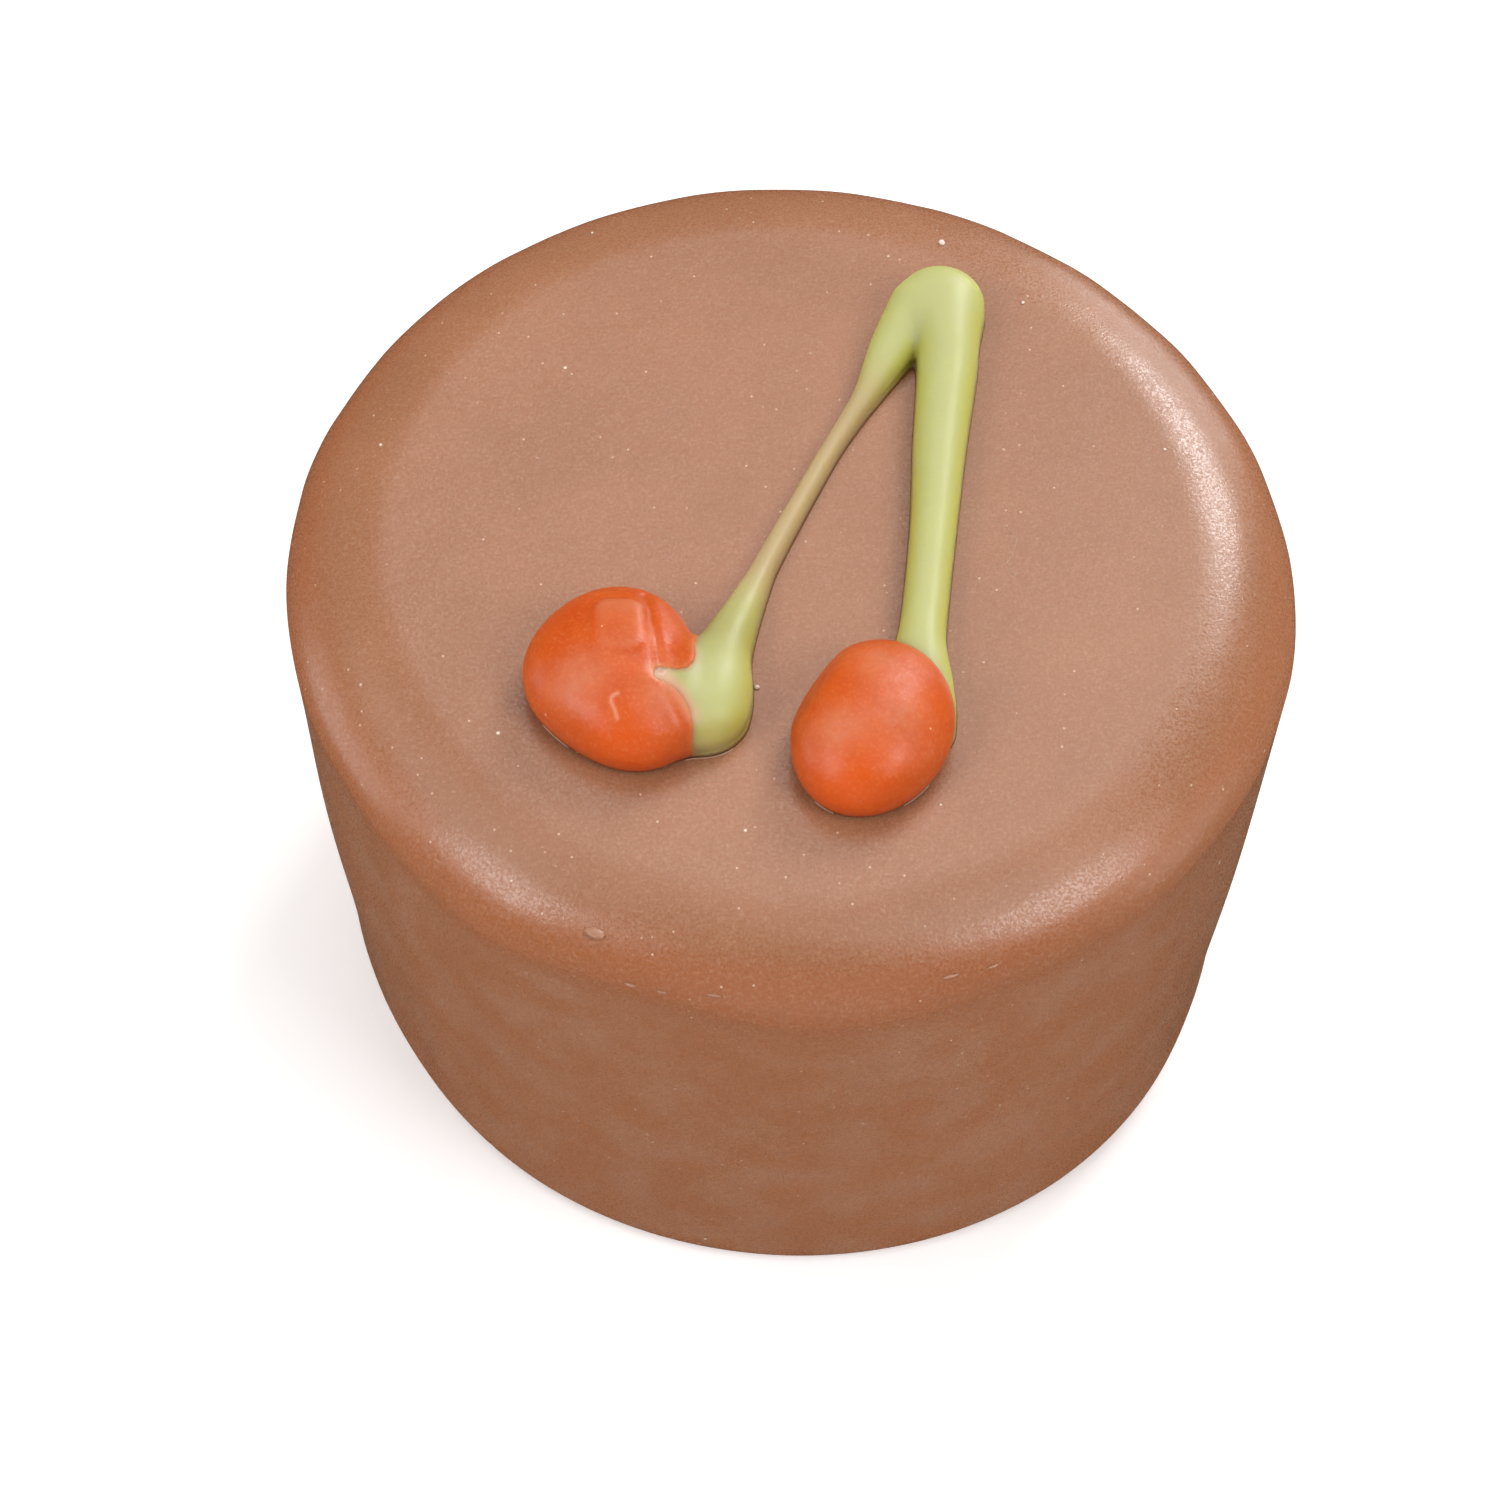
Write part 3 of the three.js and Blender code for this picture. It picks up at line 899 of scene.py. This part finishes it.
def chocolate_material():
    nodes = Nodes("milk_chocolate", COAT_SHADER)
    clouds = nodes.spread(nodes.noise(TOP_GRAIN, CLOUD_DETAIL), *CLOUD_SPREAD)
    mottle = nodes.spread(nodes.noise(SIDE_GRAIN, CLOUD_DETAIL), *SIDE_SPREAD)
    top = nodes.mix(clouds, *TOP_COLOURS)
    side = nodes.mix(mottle, *SIDE_COLOURS)
    colour = nodes.mix(nodes.mark("side"), top, side)
    # The rim's orange roll, paler at its back right as painted sheen.
    colour = nodes.mix(nodes.mark("rim"), colour, RIM_COLOUR)
    grain = nodes.noise(COAT_GRAIN, roughness=FINE_ROUGHNESS)
    colour = nodes.mix(nodes.spread(grain, *COAT_LIGHT_SPREAD), colour, COAT_LIGHT_COLOUR)
    colour = nodes.mix(nodes.spread(grain, *COAT_DARK_SPREAD), colour, COAT_DARK_COLOUR)
    colour = nodes.mix(nodes.specks(*COAT_FINE_SPECKS), colour, COAT_FINE_SPECK_COLOUR)
    colour = nodes.mix(nodes.specks(*COAT_WIDE_SPECKS), colour, COAT_WIDE_SPECK_COLOUR)
    nodes.into("Base Color", colour)
    sheen = nodes.noise(COAT_SHEEN_GRAIN, COAT_SHEEN_DETAIL)
    nodes.into("Roughness", nodes.spread(sheen, *COAT_SHEEN_SPREAD))
    waves = nodes.relief(nodes.noise(COAT_WAVE_GRAIN), COAT_WAVE_DEPTH)
    nodes.into("Normal", nodes.relief(grain, COAT_GRAIN_DEPTH, waves))
    return nodes.material


def green_material():
    nodes = Nodes("green_icing", GREEN_SHADER)
    # Painted sheen: paler where the surface faces up.
    colour = nodes.mix(nodes.spread(nodes.upness(), *CREST_SHEEN_SPREAD), FLANK_COLOUR, CREST_SHEEN_COLOUR)
    cloudy = nodes.spread(nodes.noise(CLOUDY_GRAIN), *CLOUDY_SPREAD)
    colour = nodes.mix(cloudy, colour, CLOUDY_COLOUR)
    # Painted shade under the flanks.
    colour = nodes.mix(nodes.spread(nodes.upness(), *UNDER_SHADE_SPREAD), colour, UNDER_SHADE_COLOUR)
    nodes.into("Base Color", nodes.tinted(colour, GREEN_TINTS, *GREEN_TINTS))
    nodes.into("Roughness", nodes.spread(nodes.noise(SHEEN_GRAIN), *GREEN_SHEEN_SPREAD))
    waves = nodes.relief(nodes.noise(GREEN_WAVE_GRAIN), GREEN_WAVE_DEPTH)
    nodes.into("Normal", nodes.relief(nodes.noise(GREEN_GRAIN), GREEN_GRAIN_DEPTH, waves))
    return nodes.material


def red_material():
    nodes = Nodes("red_icing", RED_SHADER)
    clouds = nodes.spread(nodes.noise(RED_CLOUD_GRAIN, CLOUD_DETAIL), *CLOUD_SPREAD)
    # Painted light on the drops' fronts.
    colour = nodes.tinted(nodes.mix(clouds, *RED_COLOURS), RED_TINTS, "lit_front")
    # Painted highlights: paler patches where the drops shine, broken up by a noise like bloom.
    bloom_and_highlight = nodes.spread(nodes.noise(BLOOM_AND_HIGHLIGHT_GRAIN, CLOUD_DETAIL), *BLOOM_AND_HIGHLIGHT_SPREAD)
    painted_highlight = nodes.spread(nodes.mark("painted_highlight"), 0.0, 1.0, 0.0, BLOOM_AND_HIGHLIGHT_SHARE)
    colour = nodes.mix(nodes.product(bloom_and_highlight, painted_highlight), colour, BLOOM_AND_HIGHLIGHT_COLOUR)
    # Painted shade on the left drop's back left shoulder.
    colour = nodes.tinted(colour, RED_TINTS, "shoulder_shade")
    grain = nodes.noise(RED_GRAIN, roughness=FINE_ROUGHNESS)
    colour = nodes.mix(nodes.spread(grain, *RED_LIGHT_SPREAD), colour, RED_LIGHT_COLOUR)
    # Painted sheen on the tongue, and partly painted highlight in the smear.
    colour = nodes.tinted(colour, RED_TINTS, "tongue_sheen", "smear_and_highlight", "scratch", "stain")
    colour = nodes.mix(nodes.specks(*RED_SPECKS), colour, RED_SPECK_COLOUR)
    # Painted contact shade, with the coat's brown, low on the drops.
    nodes.into("Base Color", nodes.tinted(colour, RED_TINTS, "low"))
    nodes.into("Roughness", nodes.spread(nodes.noise(SHEEN_GRAIN), *RED_SHEEN_SPREAD))
    waves = nodes.relief(nodes.noise(RED_WAVE_GRAIN), RED_WAVE_DEPTH)
    nodes.into("Normal", nodes.relief(grain, RED_GRAIN_DEPTH, waves))
    return nodes.material


def pale_material():
    nodes = Nodes("pale_crumb_and_highlight", CRUMB_SHADER)
    colour = nodes.mix(nodes.spread(nodes.noise(CRUMB_GRAIN), *CLOUD_SPREAD), *CRUMB_COLOURS)
    nodes.into("Base Color", nodes.mix(nodes.mark("brown"), colour, CRUMB_BROWN))
    nodes.into("Normal", nodes.relief(nodes.noise(CRUMB_RELIEF_GRAIN), CRUMB_RELIEF_DEPTH))
    return nodes.material


def lump(middle, size, turn, rng):
    """An uneven rounded lump: its middle, its full size and its turn about the upright."""
    around = np.linspace(0, 2 * np.pi, LUMP_SIDES, endpoint=False)
    rise = np.linspace(-np.pi / 2, np.pi / 2, LUMP_ROWS + 2)[1:-1, None]
    uneven = 1 + LUMP_UNEVEN * rng.uniform(-1, 1, (LUMP_ROWS, LUMP_SIDES))
    right = 0.5 * size[0] * np.cos(rise) * np.cos(around) * uneven
    back = 0.5 * size[1] * np.cos(rise) * np.sin(around) * uneven
    up = 0.5 * size[2] * np.sin(rise) * uneven
    rings = np.stack([
        right * math.cos(turn) - back * math.sin(turn),
        right * math.sin(turn) + back * math.cos(turn),
        up,
    ], axis=-1)
    poles = [[0, 0, -0.5 * size[2]], [0, 0, 0.5 * size[2]]]
    return closed_rings(rings, poles, middle)


def tube(route, half):
    """A thin round line along a route, closed at its ends."""
    route = np.array(route)
    ahead = np.gradient(route, axis=0)
    ahead = ahead / np.linalg.norm(ahead, axis=1, keepdims=True)
    across = np.cross(ahead, (0, 0, 1))
    across = across / np.linalg.norm(across, axis=1, keepdims=True)
    over = np.cross(across, ahead)
    around = np.linspace(0, 2 * np.pi, TUBE_SIDES, endpoint=False)[None, :, None]
    skin = np.cos(around) * across[:, None] + np.sin(around) * over[:, None]
    return closed_rings(route[:, None] + half * skin, [route[0], route[-1]], (0, 0, 0))


def closed_rings(rings, poles, middle):
    """Vertices and faces of a closed skin over rings, with a fan at each end."""
    rows, sides = rings.shape[:2]
    vertices = np.concatenate([rings.reshape(-1, 3), poles]) + middle
    faces = []
    for column in range(sides):
        after = (column + 1) % sides
        for row in range(rows - 1):
            low, high = row * sides, (row + 1) * sides
            faces.append((low + column, low + after, high + after, high + column))
        last = (rows - 1) * sides
        faces.append((rows * sides, after, column))
        faces.append((rows * sides + 1, last + column, last + after))
    return vertices, faces


def resting(piece, x, y):
    """The point of a piece that is highest over a place, in millimetres."""
    above = (Vector((x, y, 2 * BODY_HEIGHT)) - Vector(MIDDLE)) * MM
    place = piece.ray_cast(above, Vector((0, 0, -1)))[1]
    return np.array(place) / MM + MIDDLE


def contact_line(field, middle, start, end):
    """Points where a field meets the flat top, between two azimuths about a middle."""
    azimuth = np.radians(np.linspace(start, end, CONTACT_STEPS))
    right, back = np.cos(azimuth), np.sin(azimuth)
    near, far = np.zeros(CONTACT_STEPS), np.full(CONTACT_STEPS, CONTACT_REACH)
    for _ in range(CONTACT_HALVINGS):
        reach = (near + far) / 2
        out = field(middle[0] + reach * right, middle[1] + reach * back, CONTACT_LEVEL) > 0
        near, far = np.where(out, near, reach), np.where(out, reach, far)
    reach = near + CONTACT_HALF
    level = np.full(CONTACT_STEPS, BODY_HEIGHT + CONTACT_RISE * CONTACT_HALF)
    return np.stack([middle[0] + reach * right, middle[1] + reach * back, level], axis=1)


def add_crumbs(coat):
    """Pale crumbs, scuffs on the crease, a hair and the pale lines of painted highlight, as one
    piece.
    """
    bpy.context.view_layer.update()
    rng = np.random.default_rng(CRUMB_SEED)
    parts = []
    for x, y, size, brown in CRUMBS:
        middle = resting(coat, x, y) + (0, 0, CRUMB_RISE * size)
        turn = rng.uniform(0, MOST_TURN)
        parts.append((lump(middle, np.multiply(CRUMB_SHAPE, size), turn, rng), brown))
    for x, y, length, width in SCUFFS:
        turn = math.atan2(x, -y)
        shape = (length, width, SCUFF_HEIGHT * width)
        parts.append((lump(resting(coat, x, y), shape, turn, rng), SCUFF_BROWN))
    parts.append((tube([resting(coat, x, y) for x, y in HAIR], HAIR_HALF), LINE_BROWN))
    for contact in MENISCUS_HIGHLIGHTS:
        parts.append((tube(contact_line(*contact), CONTACT_HALF), LINE_BROWN))
    vertices, faces, brown = [], [], []
    for (points, skin), share in parts:
        first = sum(len(v) for v in vertices)
        vertices.append(points)
        faces += [tuple(first + corner for corner in face) for face in skin]
        brown.append(np.full(len(points), share))
    marks = {"brown": np.concatenate(brown)}
    add_piece("crumbs_and_highlight_lines", np.concatenate(vertices), faces, pale_material(), marks)


def add_camera():
    elevation = math.radians(CAMERA_ELEVATION)
    place = Vector((0, -math.cos(elevation), math.sin(elevation))) * CAMERA_DISTANCE
    place.z += BODY_HEIGHT / 2
    forward = (Vector(CAMERA_AIM) - place).normalized()
    level = forward.to_track_quat("-Z", "Y").to_matrix().to_4x4()
    roll = Matrix.Rotation(math.radians(CAMERA_ROLL), 4, "Z")
    camera = bpy.data.objects.new("camera", bpy.data.cameras.new("camera"))
    bpy.context.scene.collection.objects.link(camera)
    camera.data.lens = CAMERA_LENS
    camera.data.clip_start = CLIP_START * MM
    camera.matrix_world = Matrix.Translation((place - Vector(MIDDLE)) * MM) @ level @ roll
    bpy.context.scene.camera = camera


# Softboxes: azimuth in degrees clockwise from the back, elevation, width in millimetres
# and power in watts
LIGHT_DISTANCE = 600.0
LIGHTS = {
    "back_right": (33, 36, 210, 1.85),
    "front_right": (120, 43, 250, 1.3),
    "front_left": (240, 38, 280, 1.5),
    "low_back": (30, 8, 250, 0.55),
    "low_left": (275, 10, 300, 0.7),
    "low_front": (180, 14, 500, 0.42),
    "low_right": (105, 10, 300, 0.36),
    "high_right": (120, 62, 300, 0.45),
    "high_back": (0, 60, 300, 0.6),
    "high_left": (275, 58, 350, 0.6),
    "overhead": (60, 80, 400, 0.5),
}
WORLD_STRENGTH = 0.02
FLOOR_HALF = 2.0  # metres
FLOOR_GLOW = 0.25  # keeps the floor white beside the bonbon
FLOOR_SHADER = {
    "Base Color": (0.9, 0.9, 0.9, 1), "Roughness": 0.9,
    "Emission Color": (1, 1, 1, 1), "Emission Strength": FLOOR_GLOW,
}


def add_lights():
    for name, (azimuth, elevation, width, power) in LIGHTS.items():
        turn, lift = math.radians(azimuth), math.radians(elevation)
        level = math.cos(lift)
        towards = Vector((math.sin(turn) * level, math.cos(turn) * level, math.sin(lift)))
        light = bpy.data.objects.new(name, bpy.data.lights.new(name, "AREA"))
        bpy.context.scene.collection.objects.link(light)
        light.data.size = width * MM
        light.data.energy = power
        light.location = towards * LIGHT_DISTANCE * MM + Vector((0, 0, BODY_HEIGHT * MM))
        light.rotation_mode = "QUATERNION"
        light.rotation_quaternion = towards.to_track_quat("Z", "Y")
    world = bpy.data.worlds.new("studio")
    world.use_nodes = True
    world.node_tree.nodes["Background"].inputs["Color"].default_value = (1, 1, 1, 1)
    world.node_tree.nodes["Background"].inputs["Strength"].default_value = WORLD_STRENGTH
    bpy.context.scene.world = world
    bpy.context.scene.view_settings.view_transform = "Standard"


def add_floor():
    mesh = bpy.data.meshes.new("floor")
    corners = [(x * FLOOR_HALF, y * FLOOR_HALF, 0) for x, y in ((-1, -1), (1, -1), (1, 1), (-1, 1))]
    mesh.from_pydata(corners, [], [(0, 1, 2, 3)])
    mesh.materials.append(Nodes("pale_floor", FLOOR_SHADER).material)
    floor = bpy.data.objects.new("floor", mesh)
    bpy.context.scene.collection.objects.link(floor)
    floor.visible_glossy = False


add_camera()
add_lights()
add_floor()

# Where pale lines paint a highlight at the foot of the piping: field, middle and the azimuths of the
# ends
LEFT_MIDDLE = (LEFT_DROP["x"], LEFT_DROP["y"])
RIGHT_MIDDLE = (RIGHT_DROP["x"], RIGHT_DROP["y"])
MENISCUS_HIGHLIGHTS = [
    (red_left_field, LEFT_MIDDLE, 210, 236),
    (green_field, BLOB_MIDDLE, -108, -40),
    (red_right_field, RIGHT_MIDDLE, 232, 246),
    (red_right_field, RIGHT_MIDDLE, 292, 318),
]

chocolate = chocolate_material()
green = green_material()
red = red_material()

coat_vertices, coat_faces = coat_mesh()
marks = coat_marks(coat_vertices)
coat = add_piece("chocolate_coat", coat_vertices, coat_faces, chocolate, marks)
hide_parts("chocolate_body")

add_piping("green_line", green_field, green_marks, GREEN_BOX, green, "stem_piping")
add_piping(
    "red_drop_left", red_left_field, red_left_marks, LEFT_DROP_BOX, red, "cherry_left"
)
add_piping(
    "red_drop_right", red_right_field, red_marks, RIGHT_DROP_BOX, red, "cherry_right"
)
add_crumbs(coat)
